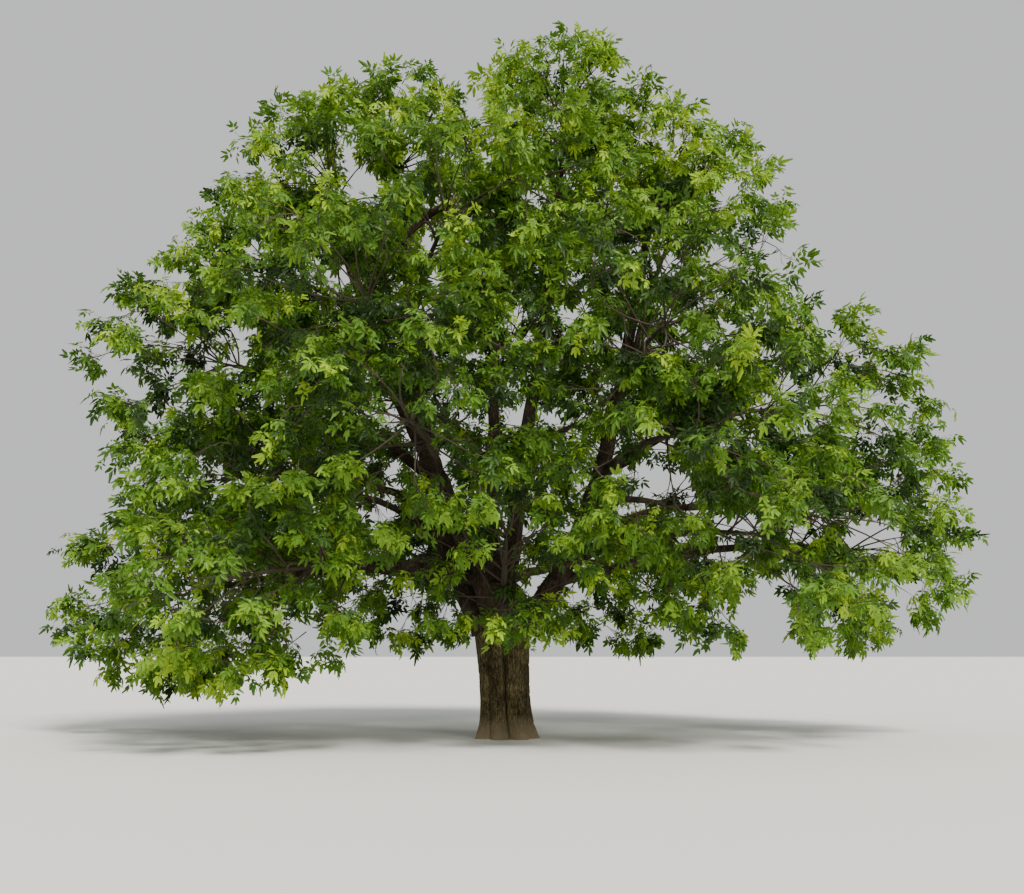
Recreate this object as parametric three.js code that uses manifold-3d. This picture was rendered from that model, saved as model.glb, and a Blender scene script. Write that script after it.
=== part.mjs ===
// A broad walnut tree in full summer leaf: a short fluted trunk that forks into five leaders, the boughs that
// leave them, and thirty masses of foliage that make the crown. Millimetres, +Z up, the ground at Z = 0.
// +X is to the right, +Y to the back. Every limb and mass is worked out from the sizes below.
import * as THREE from "three";
import { mergeVertices } from "three/addons/utils/BufferGeometryUtils.js";
import Module from "manifold-3d";

const wasm = await Module();
wasm.setup();

// Gap between pieces that meet, and the room that foliage leaves to limbs and to other foliage.
const CLEARANCE = 0.3;
const LIMB_ROOM = 25;
const SPACE_ROOM = 6;

// The trunk: two stems grown together, so it is widest at its foot and again below the fork. Its grooves
// are given by their bearing in degrees and their share of the deepest one's depth. waist, flare, swell and
// groove are radii, and swellPower says how late the swelling sets in. The last rings, from domeFrom of the
// way on, close over in a dome.
const TRUNK = {
  height: 2900,
  waist: 455,
  flare: 120,
  flareHeight: 330,
  roots: 7,
  rootDepth: 0.55,
  rootTurn: 34,
  swell: 190,
  swellPower: 2.2,
  groove: 105,
  grooveWidth: 17,
  grooves: [[-83, 1], [79, 0.7], [-129, 0.35]],
  lean: -130,
  sides: 24,
  rings: 9,
  domeFrom: 0.8,
  domeDepth: 0.72,
};

// Leaders rise from inside the trunk's top. bearing is the compass way that each leans, spread how far it
// stands out at its shoulder, and tip the tier and place of the mass that it ends in. Its root stands
// rootOut of its spread off the axis. Its last bend is below its mass, at bendOut of the mass's way out and
// bendHeight of its height.
const LEADER_FORM = { rootHeight: 2050, rootOut: 0.18, bendOut: 0.75, bendHeight: 0.62, tip: 78, sides: 8 };
const LEADERS = [
  { name: "left", bearing: 185, spread: 1750, shoulder: 3900, radius: 235, tip: ["crest", 1] },
  { name: "right", bearing: 6, spread: 1900, shoulder: 3700, radius: 235, tip: ["high", 0] },
  { name: "centre", bearing: 60, spread: 350, shoulder: 5200, radius: 205, tip: ["crest", 0] },
  { name: "back", bearing: 105, spread: 1700, shoulder: 4100, radius: 200, tip: ["high", 1] },
  { name: "front", bearing: 232, spread: 1350, shoulder: 4300, radius: 175, tip: ["high", 2] },
];

// Tiers of foliage from the ground up, each with count masses round the compass from the bearing first. Each
// list is for the right, back, left and front: reach is how far the crown's edge stands from the trunk's axis
// and height the middle of the foliage there. radius is a mass's own reach and twigs the most that it has.
// start is where the boughs leave their leader, launch their rise there in degrees, and girth their radius at
// the root.
const TIERS = [
  {
    name: "skirt", count: 7, first: 9, radius: 2540, twigs: 9, girth: 112, start: 2550, launch: 14,
    reach: [9600, 8300, 9650, 5050], height: [3600, 3700, 2700, 3600],
  },
  {
    name: "lower", count: 7, first: -3, radius: 2580, twigs: 9, girth: 118, start: 3300, launch: 30,
    reach: [8750, 8300, 7500, 7600], height: [3850, 5200, 4600, 5400],
  },
  {
    name: "middle", count: 6, first: 0, radius: 2760, twigs: 9, girth: 112, start: 4600, launch: 38,
    reach: [8650, 7800, 8400, 7350], height: [6300, 7300, 7250, 7100],
  },
  {
    name: "upper", count: 4, first: -12, radius: 2620, twigs: 8, girth: 92, start: 6300, launch: 48,
    reach: [5850, 6200, 7150, 6000], height: [9750, 8900, 9200, 9150],
  },
  {
    name: "high", count: 4, first: 10, radius: 2160, twigs: 7, girth: 80, start: 8000, launch: 52,
    reach: [5300, 4800, 5700, 4700], height: [10900, 11000, 11000, 9850],
  },
  {
    name: "crest", count: 2, first: -3, radius: 1960, twigs: 8, girth: 70, start: 9000, launch: 60,
    reach: [3150, 2400, 4300, 2400], height: [12600, 12200, 12150, 11600],
  },
];
// How far masses stray from an even spread: in degrees, in height and as a share of their radius.
const STRAY = { bearing: 10, height: 400, radius: 0.08 };

// Boughs leave a leader at least spacing apart in height. As shares of its reach, a bough rises over rise,
// levels off over level, sways sideways by up to half of sway and arches above its mass by arch.
const BOUGH_FORM = {
  spacing: 330, spacingStray: 0.25,
  rise: 0.36, level: 0.3, sway: 0.22, swayBack: 0.6, arch: 0.05,
  tip: 70, sides: 6,
};
const TAPER = 1.15;
const COLLAR = 0.3;
const COLLAR_LENGTH = 260;
const LIMB_STEP = 1300;

// The mass right in front of the trunk has no bough: its stem comes straight out of the trunk.
const FRONT_STEM = { bearing: 270, within: 20, y: -150, z: 1750, radius: 98 };

// Foliage: masses are balls flattened by this much, filled with twigs that end in flat sprays of leaves.
// droop and turn are ranges in degrees for a spray's tilt and its twist from hanging straight down. shell is
// how far out a spray hangs, as a share of the way to the mass's edge: it strays by up to shellStray, and a
// small spray hangs further out. Sprays below underside are turned level.
const FLATTEN = 1.25;
const FOLIAGE = {
  headings: 26,
  twigRadius: 26,
  twigTip: 13,
  stemTip: 60,
  branching: 50,
  rootsBetween: [0.1, 0.97],
  shell: 0.68,
  shellStray: 0.08,
  smallOut: 0.2,
  droop: [16, 34],
  turn: [15, 55],
  underside: -0.3,
  upright: 0.5,
  sprayLength: 2150,
  lengthStray: 0.2,
  sprayThickness: 0.028,
  sizes: [1.1, 1, 0.9, 0.8, 0.7, 0.6, 0.5],
  insets: [-0.16, -0.08, 0, 0.12],
};
// A spray's outline is a fan of lobes: each one's turn from the middle in degrees and its reach, as a share
// of the spray's length. The notches between them reach in to notch of the shorter neighbour. heart is where
// it is thickest, middle the middle of its area, grip where its twig is fused to its back, and lobeWidth
// half the width of a lobe at its middle.
const SPRAY = {
  lobes: [[-70, 0.66], [-35, 0.88], [0, 1], [35, 0.88], [70, 0.66]],
  notch: 0.7,
  heart: 0.36,
  middle: 0.46,
  grip: [0.286, 0.112],
  lobeWidth: 0.15,
};
const GOLDEN_ANGLE = Math.PI * (3 - Math.sqrt(5));
const UP = new THREE.Vector3(0, 0, 1);
const LAYOUT_SEED = 319;
const FOLIAGE_SEED = 136;
const CROWN_MIDDLE = new THREE.Vector3(0, 0, 5500);

// Repeatable random numbers from 0 to 1.
function randomFrom(seed) {
  let state = seed * 7919 + 104729;
  return () => {
    state = (state * 16807) % 2147483647;
    return state / 2147483647;
  };
}

// A value given for the right, back, left and front, blended smoothly round the compass.
function aroundCompass(four, bearing) {
  const quarter = (((bearing % 360) + 360) % 360) / 90;
  const from = Math.floor(quarter) % 4;
  const share = Math.sin(((quarter - Math.floor(quarter)) * Math.PI) / 2) ** 2;
  return four[from] * (1 - share) + four[(from + 1) % 4] * share;
}

function outwards(bearing) {
  const angle = THREE.MathUtils.degToRad(bearing);
  return new THREE.Vector3(Math.cos(angle), Math.sin(angle), 0);
}

// The masses of foliage: each tier's balls spread evenly round the compass, inside the crown's edge.
function layOutMasses() {
  const masses = [];
  for (const tier of TIERS) {
    for (let place = 0; place < tier.count; place += 1) {
      const random = randomFrom(masses.length + LAYOUT_SEED);
      const bearing = tier.first + (place * 360) / tier.count + (random() - 0.5) * STRAY.bearing;
      const radius = tier.radius * (1 + (random() - 0.5) * STRAY.radius);
      const centre = outwards(bearing).multiplyScalar(aroundCompass(tier.reach, bearing) - radius);
      centre.z = aroundCompass(tier.height, bearing) + (random() - 0.5) * STRAY.height;
      masses.push({
        name: `foliage_${tier.name}_${place + 1}`,
        seed: masses.length + FOLIAGE_SEED,
        tier, place, bearing, radius, centre,
      });
    }
  }
  return masses;
}

// Square of the stretched distance to a mass's middle, less its radius squared: negative inside the ball.
function power(mass, point) {
  const { centre, radius } = mass;
  return (point.x - centre.x) ** 2 + (point.y - centre.y) ** 2
    + ((point.z - centre.z) * FLATTEN) ** 2 - radius ** 2;
}

// Whether a point is in a mass's own space, at least room away from its edge and from every other mass's.
// The spaces are cut by flat planes between the balls, so they are convex and never overlap.
function owns(mass, point, room) {
  const margin = (room + SPACE_ROOM) * FLATTEN;
  const own = power(mass, point);
  if (Math.sqrt(own + mass.radius ** 2) > mass.radius - margin) return false;
  for (const other of masses) {
    if (other === mass) continue;
    const apart = Math.hypot(
      other.centre.x - mass.centre.x,
      other.centre.y - mass.centre.y,
      (other.centre.z - mass.centre.z) * FLATTEN,
    );
    if (power(other, point) - own < 2 * margin * apart) return false;
  }
  return point.z > room;
}

// A cubic curve's part before t.
function headOf(curve, t) {
  const between = (p, q) => p.clone().lerp(q, t);
  const a = between(curve.v0, curve.v1);
  const b = between(curve.v1, curve.v2);
  const c = between(curve.v2, curve.v3);
  const d = between(a, b);
  const e = between(b, c);
  const joint = between(d, e);
  return new THREE.CubicBezierCurve3(curve.v0, a, d, joint);
}

// A mass's stem runs straight to the middle of the mass, and starts square to the tip of its limb.
function stemFrom(tip, tangent, mass) {
  const start = tip.clone().addScaledVector(tangent, CLEARANCE);
  const bend = start.clone().addScaledVector(tangent, start.distanceTo(mass.centre) / 2);
  return new THREE.QuadraticBezierCurve3(start, bend, mass.centre.clone());
}

// Cuts a limb's curve where it enters its mass.
function enterMass(curve, mass, tipRadius) {
  const steps = 240;
  let entry = steps;
  while (entry > 1 && owns(mass, curve.getPoint((entry - 1) / steps), tipRadius)) entry -= 1;
  const limbCurve = headOf(curve, entry / steps);
  mass.stem = stemFrom(limbCurve.v3, limbCurve.getTangent(1), mass);
  mass.stemRadius = tipRadius;
  return limbCurve;
}

// A limb's radius at a share u of its length: it tapers from root to tip and swells in a collar at the root.
function limbRadius(limb, u) {
  const taper = limb.tipRadius + (limb.rootRadius - limb.tipRadius) * (1 - u) ** TAPER;
  return taper * (1 + COLLAR * Math.exp((-u * limb.length) / COLLAR_LENGTH));
}

function makeLimb(name, curve, rootRadius, tipRadius, carrier) {
  return { name, curve, rootRadius, tipRadius, carrier, length: curve.getLength() };
}

// Each leader rises from the trunk's top to its shoulder, and on to the mass at its tip.
function layOutLeaders() {
  return LEADERS.map((leader) => {
    const mass = masses.find((m) => m.tier.name === leader.tip[0] && m.place === leader.tip[1]);
    const out = outwards(leader.bearing);
    const root = out.clone().multiplyScalar(LEADER_FORM.rootOut * leader.spread);
    root.x += trunkAxis(LEADER_FORM.rootHeight);
    root.z = LEADER_FORM.rootHeight;
    const shoulder = out.clone().multiplyScalar(leader.spread).setZ(leader.shoulder);
    const bend = mass.centre.clone().multiplyScalar(LEADER_FORM.bendOut);
    bend.z = mass.centre.z * LEADER_FORM.bendHeight;
    const curve = enterMass(
      new THREE.CubicBezierCurve3(root, shoulder, bend, mass.centre.clone()), mass, LEADER_FORM.tip,
    );
    const limb = makeLimb(`leader_${leader.name}`, curve, leader.radius, LEADER_FORM.tip, null);
    limb.bearing = leader.bearing;
    limb.nextStart = 0;
    mass.limb = limb;
    return limb;
  });
}

// The share of a limb's curve at which it passes a height.
function shareAtHeight(limb, height) {
  const steps = 200;
  for (let i = 0; i <= steps; i += 1) {
    if (limb.curve.getPoint(i / steps).z >= height) return i / steps;
  }
  return 1;
}

function bearingGap(a, b) {
  return Math.abs(((a - b + 540) % 360) - 180);
}

// The leader that leans nearest a mass's own way. The centre leader carries no boughs.
function carrierOf(mass) {
  const carriers = leaders.filter((leader) => leader.name !== "leader_centre");
  return carriers.reduce((best, leader) => (
    bearingGap(leader.bearing, mass.bearing) < bearingGap(best.bearing, mass.bearing) ? leader : best));
}

// The arching curve from a bough's root to the middle of its mass.
function boughCurve(root, mass, random) {
  const flat = mass.centre.clone().sub(root).setZ(0);
  const reach = flat.length();
  flat.normalize();
  const rise = Math.tan(THREE.MathUtils.degToRad(mass.tier.launch)) * reach * BOUGH_FORM.rise;
  const sway = new THREE.Vector3(-flat.y, flat.x, 0)
    .multiplyScalar((random() - 0.5) * reach * BOUGH_FORM.sway);
  const first = root.clone()
    .addScaledVector(flat, reach * BOUGH_FORM.rise).add(sway).addScaledVector(UP, rise);
  const second = mass.centre.clone()
    .addScaledVector(flat, -reach * BOUGH_FORM.level).addScaledVector(sway, -BOUGH_FORM.swayBack);
  second.z = mass.centre.z + reach * BOUGH_FORM.arch;
  return new THREE.CubicBezierCurve3(root, first, second, mass.centre.clone());
}

function hangFromTrunk(mass) {
  const root = new THREE.Vector3(trunkAxis(mass.tier.start), FRONT_STEM.y, FRONT_STEM.z);
  mass.stem = stemFrom(root, mass.centre.clone().sub(root).normalize(), mass);
  mass.stemRadius = FRONT_STEM.radius;
  mass.limb = { name: "trunk" };
}

// Each mass that no leader ends in gets a bough from the leader that carries it, or hangs from the trunk.
function layOutBoughs() {
  const boughs = [];
  for (const mass of masses) {
    if (mass.limb) continue;
    const { tier } = mass;
    const random = randomFrom(mass.seed + 500);
    const carrier = carrierOf(mass);
    const spacing = BOUGH_FORM.spacing * (1 + BOUGH_FORM.spacingStray * random());
    carrier.nextStart = Math.max(tier.start, carrier.nextStart) + spacing;
    if (tier.name === "skirt" && bearingGap(mass.bearing, FRONT_STEM.bearing) < FRONT_STEM.within) {
      hangFromTrunk(mass);
      continue;
    }
    const share = shareAtHeight(carrier, carrier.nextStart);
    const curve = enterMass(boughCurve(carrier.curve.getPoint(share), mass, random), mass, BOUGH_FORM.tip);
    const rootRadius = Math.min(tier.girth, 0.78 * limbRadius(carrier, share));
    mass.limb = makeLimb(mass.name.replace("foliage", "bough"), curve, rootRadius, BOUGH_FORM.tip, carrier);
    boughs.push(mass.limb);
  }
  return boughs;
}

// Where the trunk's axis stands at a height, because it leans to the left.
function trunkAxis(height) {
  return TRUNK.lean * (height / TRUNK.height);
}

// The trunk's radius at a bearing and height: root flare below, a swelling to both sides below the fork,
// and a groove at the front and back where the two stems meet.
function trunkRadius(angle, height) {
  const rise = height / TRUNK.height;
  const flare = TRUNK.flare * Math.exp(-height / TRUNK.flareHeight);
  const turn = THREE.MathUtils.degToRad(TRUNK.rootTurn);
  const buttress = 1 + TRUNK.rootDepth * Math.cos(TRUNK.roots * angle + turn);
  const sideways = 0.35 + 0.65 * Math.cos(angle) ** 2;
  const swell = TRUNK.swell * rise ** TRUNK.swellPower * sideways;
  let groove = 0;
  for (const [bearing, depth] of TRUNK.grooves) {
    const away = bearingGap(THREE.MathUtils.radToDeg(angle), bearing) / TRUNK.grooveWidth;
    groove += TRUNK.groove * depth * (0.45 + 0.55 * rise) * Math.exp(-(away ** 2));
  }
  return TRUNK.waist + flare * buttress + swell - groove;
}

// A closed tube of unit size without seams, ready to be bent: y runs from 0 to 1 along it.
function unitTube(sides, steps) {
  const geometry = new THREE.CylinderGeometry(1, 1, 1, sides, steps).translate(0, 0.5, 0);
  geometry.deleteAttribute("normal");
  geometry.deleteAttribute("uv");
  return mergeVertices(geometry);
}

function solidFrom(geometry) {
  const mesh = new wasm.Mesh({
    numProp: 3,
    vertProperties: new Float32Array(geometry.getAttribute("position").array),
    triVerts: new Uint32Array(geometry.index.array),
  });
  return new wasm.Manifold(mesh);
}

function trunkSolid(grow) {
  const geometry = unitTube(TRUNK.sides, TRUNK.rings);
  const position = geometry.getAttribute("position");
  for (let i = 0; i < position.count; i += 1) {
    const x = position.getX(i);
    const z = position.getZ(i);
    // Rings crowd together at the foot, and the last ones close over in a low dome.
    const u = position.getY(i);
    const height = TRUNK.height * u ** 1.5;
    const into = Math.max(0, (u - TRUNK.domeFrom) / (1 - TRUNK.domeFrom));
    const dome = Math.sqrt(1 - TRUNK.domeDepth * into ** 2);
    const angle = Math.atan2(-z, x);
    const radius = Math.hypot(x, z) * (trunkRadius(angle, height) * dome + grow);
    position.setXYZ(
      i,
      trunkAxis(height) + radius * Math.cos(angle),
      radius * Math.sin(angle),
      height + (u === 1 ? grow : 0),
    );
  }
  return solidFrom(geometry);
}

// A tapering tube along a curve. grow widens it all over, for cutting its neighbours clear.
function tubeSolid(curve, radiusAt, sides, steps, grow = 0) {
  const geometry = unitTube(sides, steps);
  const frames = curve.computeFrenetFrames(steps);
  const position = geometry.getAttribute("position");
  for (let i = 0; i < position.count; i += 1) {
    const u = position.getY(i);
    const ring = Math.round(u * steps);
    const radius = radiusAt(u) + grow;
    const point = curve.getPointAt(u)
      .addScaledVector(frames.normals[ring], position.getX(i) * radius)
      .addScaledVector(frames.binormals[ring], -position.getZ(i) * radius);
    if (ring === steps) point.addScaledVector(frames.tangents[ring], grow);
    position.setXYZ(i, point.x, point.y, point.z);
  }
  return solidFrom(geometry);
}

function limbSolid(limb, grow = 0) {
  const steps = Math.max(3, Math.round(limb.length / LIMB_STEP));
  const { sides } = limb.carrier ? BOUGH_FORM : LEADER_FORM;
  return tubeSolid(limb.curve, (u) => limbRadius(limb, u), sides, steps, grow);
}

// The largest of the bodies that a cut leaves: scraps are dropped.
function largestBody(solid) {
  return solid.decompose().reduce((best, body) => (body.volume() > best.volume() ? body : best));
}

// Points along every limb with the limb's radius there, for keeping foliage clear of the wood.
function woodSamples() {
  const samples = [];
  for (const limb of [...leaders, ...boughs]) {
    const count = Math.ceil(limb.length / 60);
    for (let i = 0; i <= count; i += 1) {
      const point = limb.curve.getPointAt(i / count);
      samples.push({ x: point.x, y: point.y, z: point.z, radius: limbRadius(limb, i / count) });
    }
  }
  for (let height = 0; height <= TRUNK.height; height += 60) {
    samples.push({
      x: trunkAxis(height), y: 0, z: height,
      radius: TRUNK.waist + TRUNK.swell * (height / TRUNK.height) + 60,
    });
  }
  return samples;
}

function clearOfWood(point, halfWidth) {
  return wood.every((sample) => {
    const room = sample.radius + halfWidth + LIMB_ROOM;
    return (point.x - sample.x) ** 2 + (point.y - sample.y) ** 2 + (point.z - sample.z) ** 2 > room ** 2;
  });
}

// How far a mass's own space goes from its middle along a heading.
function edgeDistance(mass, heading) {
  const step = 40;
  let distance = step;
  while (owns(mass, mass.centre.clone().addScaledVector(heading, distance), 0)) distance += step;
  return distance - step;
}

// A place in a spray's plane, given along and across as shares of its length.
function inSpray(spray, along, across) {
  return spray.root.clone()
    .addScaledVector(spray.along, along * spray.length)
    .addScaledVector(spray.across, across * spray.length);
}

// A spray's outline from its root round its lobes and back.
function sprayOutline(spray) {
  const at = (degrees, reach) => {
    const angle = THREE.MathUtils.degToRad(degrees);
    return inSpray(spray, reach * Math.cos(angle), reach * Math.sin(angle));
  };
  const outline = [spray.root.clone()];
  SPRAY.lobes.forEach(([turn, reach], i) => {
    outline.push(at(turn, reach));
    const next = SPRAY.lobes[i + 1];
    if (next) outline.push(at((turn + next[0]) / 2, SPRAY.notch * Math.min(reach, next[1])));
  });
  return outline;
}

function sprayFits(mass, spray) {
  const outline = sprayOutline(spray);
  if (!outline.every((corner) => owns(mass, corner, FOLIAGE.twigTip))) return false;
  const lobeTips = outline.filter((corner, i) => i % 2 === 1);
  return lobeTips.every((tip) => [0, 0.12, 0.3, 0.48, 0.66, 0.83, 1].every((u) => {
    const halfWidth = 2 * SPRAY.lobeWidth * Math.min(u, 1 - u) * spray.length;
    return clearOfWood(spray.root.clone().lerp(tip, u), halfWidth);
  }));
}

// Where a twig leaves its stem to reach a tip: at the branching angle, so far back from beside the tip.
function twigRoot(stem, tip) {
  const [start, end] = [stem.v0, stem.v2];
  const heading = end.clone().sub(start);
  const length = heading.length();
  heading.normalize();
  const beside = tip.clone().sub(start).dot(heading);
  const apart = tip.distanceTo(start.clone().addScaledVector(heading, beside));
  const back = apart / Math.tan(THREE.MathUtils.degToRad(FOLIAGE.branching));
  const [lowest, highest] = FOLIAGE.rootsBetween;
  const along = THREE.MathUtils.clamp(beside - back, lowest * length, highest * length);
  return start.clone().addScaledVector(heading, along);
}

// Headings spread evenly over a ball by the golden angle, each with its own random numbers. Those that point
// out of the crown come first.
function headingsOf(mass) {
  const random = randomFrom(mass.seed);
  const turned = random() * 2 * Math.PI;
  const outward = mass.centre.clone().sub(CROWN_MIDDLE).normalize();
  const headings = [];
  for (let k = 0; k < FOLIAGE.headings; k += 1) {
    const lift = 1 - (2 * k + 1) / FOLIAGE.headings;
    const compass = k * GOLDEN_ANGLE + turned;
    const level = Math.sqrt(1 - lift ** 2);
    const way = new THREE.Vector3(level * Math.cos(compass), level * Math.sin(compass), lift);
    const draws = [random(), random(), random(), random()];
    headings.push({ way, draws, edge: edgeDistance(mass, way), side: k % 2 ? -1 : 1 });
  }
  return headings.sort((a, b) => b.way.dot(outward) - a.way.dot(outward));
}

// A spray hung across a heading, hinged so that its faces look outwards more than up.
function makeSpray(mass, heading, size, side, inset) {
  const { way, edge, draws } = heading;
  const [r1, r2, r3, r4] = draws;
  const between = (range, share) => THREE.MathUtils.degToRad(range[0] + (range[1] - range[0]) * share);
  const face = way.clone().setZ(FOLIAGE.upright * way.z).normalize();
  const down = new THREE.Vector3(0, 0, -1).addScaledVector(face, face.z).normalize();
  const turn = way.z < FOLIAGE.underside ? Math.PI / 2 : between(FOLIAGE.turn, r1);
  const droop = between(FOLIAGE.droop, r2);
  const along = down.applyAxisAngle(face, side * turn)
    .multiplyScalar(Math.cos(droop)).addScaledVector(face, Math.sin(droop));
  const normal = face.clone().addScaledVector(along, -face.dot(along)).normalize();
  const length = FOLIAGE.sprayLength * (1 + FOLIAGE.lengthStray * (r3 - 0.5)) * size;
  const shell = FOLIAGE.shell + FOLIAGE.shellStray * r4 + FOLIAGE.smallOut * (1 - size) - inset;
  const root = mass.centre.clone()
    .addScaledVector(way, edge * shell)
    .addScaledVector(along, -SPRAY.middle * length);
  return { root, along, normal, across: normal.clone().cross(along), length };
}

// A twig and the spray that it ends behind, or nothing where they'd leave their space or touch the wood.
function makeTwig(mass, spray) {
  if (!sprayFits(mass, spray)) return null;
  const tip = inSpray(spray, ...SPRAY.grip);
  const curve = new THREE.LineCurve3(twigRoot(mass.stem, tip), tip);
  const clear = [0.2, 0.4, 0.6, 0.8, 1].every((u) => {
    const point = curve.getPoint(u);
    return owns(mass, point, FOLIAGE.twigRadius) && clearOfWood(point, FOLIAGE.twigRadius);
  });
  if (!clear) return null;
  const radiusAt = (u) => FOLIAGE.twigRadius + (FOLIAGE.twigTip - FOLIAGE.twigRadius) * u;
  return { spray: spraySolid(spray), wood: tubeSolid(curve, radiusAt, 3, 1) };
}

function cross(a, b) {
  return [[a.spray, b.spray], [a.spray, b.wood], [a.wood, b.spray]]
    .some(([one, other]) => !one.intersect(other).isEmpty());
}

// Twigs and sprays of one mass. For each heading a spray is tried turned to either side and further in, and
// then smaller, until it fits and crosses no other. A heading where none does is skipped.
function growFoliage(mass) {
  const twigs = [];
  for (const heading of headingsOf(mass)) {
    const tries = FOLIAGE.sizes.flatMap((size) => (
      FOLIAGE.insets.flatMap((inset) => [[size, heading.side, inset], [size, -heading.side, inset]])));
    for (const [size, side, inset] of tries) {
      const twig = makeTwig(mass, makeSpray(mass, heading, size, side, inset));
      if (twig && !twigs.some((other) => cross(other, twig))) {
        twigs.push(twig);
        break;
      }
    }
    if (twigs.length === mass.tier.twigs) break;
  }
  return twigs;
}

// A flat double pyramid on the spray's outline.
function spraySolid(spray) {
  const outline = sprayOutline(spray);
  const rise = (spray.length * FOLIAGE.sprayThickness) / 2;
  const heart = inSpray(spray, SPRAY.heart, 0);
  const geometry = mergeVertices(bare(new THREE.SphereGeometry(1, outline.length, 2)));
  const position = geometry.getAttribute("position");
  for (let i = 0; i < position.count; i += 1) {
    const [x, y, z] = [position.getX(i), position.getY(i), position.getZ(i)];
    let corner = heart.clone().addScaledVector(spray.normal, Math.sign(y) * rise);
    if (Math.abs(y) < 0.5) {
      const place = Math.round((Math.atan2(z, -x) * outline.length) / (2 * Math.PI));
      corner = outline[(place + outline.length) % outline.length];
    }
    position.setXYZ(i, corner.x, corner.y, corner.z);
  }
  return solidFrom(geometry);
}

function bare(geometry) {
  geometry.deleteAttribute("normal");
  geometry.deleteAttribute("uv");
  return geometry;
}

// One mass: its stem, twigs and sprays fused into one solid, clear of the trunk where that carries it.
function foliageSolid(mass) {
  const { stem, stemRadius } = mass;
  let solid = tubeSolid(stem, (u) => stemRadius + (FOLIAGE.stemTip - stemRadius) * u, 5, 1);
  for (const twig of growFoliage(mass)) solid = solid.add(twig.wood.add(twig.spray));
  if (mass.limb.name === "trunk") solid = solid.subtract(trunkSolid(CLEARANCE));
  return largestBody(solid);
}

function meshFrom(name, solid, material) {
  const { numProp, vertProperties, triVerts } = solid.getMesh();
  const points = new Float32Array((vertProperties.length / numProp) * 3);
  for (let i = 0; i < points.length / 3; i += 1) {
    points.set(vertProperties.subarray(i * numProp, i * numProp + 3), i * 3);
  }
  const geometry = new THREE.BufferGeometry()
    .setAttribute("position", new THREE.BufferAttribute(points, 3))
    .setIndex(new THREE.BufferAttribute(triVerts, 1));
  geometry.computeVertexNormals();
  const mesh = new THREE.Mesh(geometry, material);
  mesh.name = name;
  return mesh;
}

const bark = new THREE.MeshStandardMaterial({ color: 0x5b4a38, roughness: 0.95, metalness: 0 });
const limbBark = new THREE.MeshStandardMaterial({ color: 0x4a3d30, roughness: 0.95, metalness: 0 });
const leafGreen = new THREE.MeshStandardMaterial({ color: 0x4f7d22, roughness: 0.6, metalness: 0 });

const masses = layOutMasses();
const leaders = layOutLeaders();
const boughs = layOutBoughs();
const wood = woodSamples();

const tree = new THREE.Group();
tree.name = "walnut_tree";
tree.add(meshFrom("trunk", trunkSolid(0), bark));

// Leaders are cut clear of the trunk and of the leaders before them, and boughs of their own leader.
leaders.forEach((leader, i) => {
  let solid = limbSolid(leader).subtract(trunkSolid(CLEARANCE));
  for (const earlier of leaders.slice(0, i)) solid = solid.subtract(limbSolid(earlier, CLEARANCE));
  tree.add(meshFrom(leader.name, largestBody(solid), limbBark));
});
for (const bough of boughs) {
  const solid = limbSolid(bough)
    .subtract(limbSolid(bough.carrier, CLEARANCE)).subtract(trunkSolid(CLEARANCE));
  tree.add(meshFrom(bough.name, largestBody(solid), limbBark));
}
for (const mass of masses) tree.add(meshFrom(mass.name, foliageSolid(mass), leafGreen));

export default tree;
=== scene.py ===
"""A broad walnut tree in full summer leaf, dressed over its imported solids.

Lengths are in metres, with +Z up and the ground at Z = 0. The limbs and the masses of foliage are laid out by
the rule of the solids, written again here. Each limb gets bark with real relief, and each mass grows on from
its stem to fine twigs and compound leaves.
"""

import math
from types import SimpleNamespace

import bpy
import numpy as np
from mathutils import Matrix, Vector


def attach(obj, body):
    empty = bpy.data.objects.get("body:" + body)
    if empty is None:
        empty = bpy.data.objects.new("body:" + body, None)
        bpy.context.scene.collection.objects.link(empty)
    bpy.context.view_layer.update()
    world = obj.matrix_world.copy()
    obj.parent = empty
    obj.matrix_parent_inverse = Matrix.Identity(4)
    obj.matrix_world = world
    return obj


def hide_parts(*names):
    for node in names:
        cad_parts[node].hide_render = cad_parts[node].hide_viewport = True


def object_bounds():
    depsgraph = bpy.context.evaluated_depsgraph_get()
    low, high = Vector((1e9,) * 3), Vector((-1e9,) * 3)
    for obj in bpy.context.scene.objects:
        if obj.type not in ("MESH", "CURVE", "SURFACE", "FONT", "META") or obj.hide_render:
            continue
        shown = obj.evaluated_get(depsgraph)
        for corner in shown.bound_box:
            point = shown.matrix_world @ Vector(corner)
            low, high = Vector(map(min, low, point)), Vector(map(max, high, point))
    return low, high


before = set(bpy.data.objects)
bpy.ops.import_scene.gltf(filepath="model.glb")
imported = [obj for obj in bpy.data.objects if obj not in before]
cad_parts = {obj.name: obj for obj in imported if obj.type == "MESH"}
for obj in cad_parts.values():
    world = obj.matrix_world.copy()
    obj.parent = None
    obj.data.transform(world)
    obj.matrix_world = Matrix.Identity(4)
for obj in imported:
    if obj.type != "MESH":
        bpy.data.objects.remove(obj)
cad_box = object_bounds()

# The gap between limbs that meet, and the room that foliage leaves to limbs and to other foliage.
CLEARANCE = 0.0003
LIMB_ROOM = 0.025
SPACE_ROOM = 0.006

# The trunk, as the solids have it. Each groove has its bearing in degrees and its share of the deepest one's
# depth, of which groove_low is there at the ground. swell_round is how much of the swelling below the fork
# also shows at the front and back.
TRUNK = SimpleNamespace(
    height=2.9, waist=0.455, flare=0.12, flare_height=0.33, roots=7, root_depth=0.55, root_turn=34,
    swell=0.19, swell_power=2.2, swell_round=0.35,
    groove=0.105, groove_width=17, groove_low=0.45, grooves=[(-83, 1), (79, 0.7), (-129, 0.35)],
    lean=-0.13, dome_depth=0.72,
)

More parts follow.
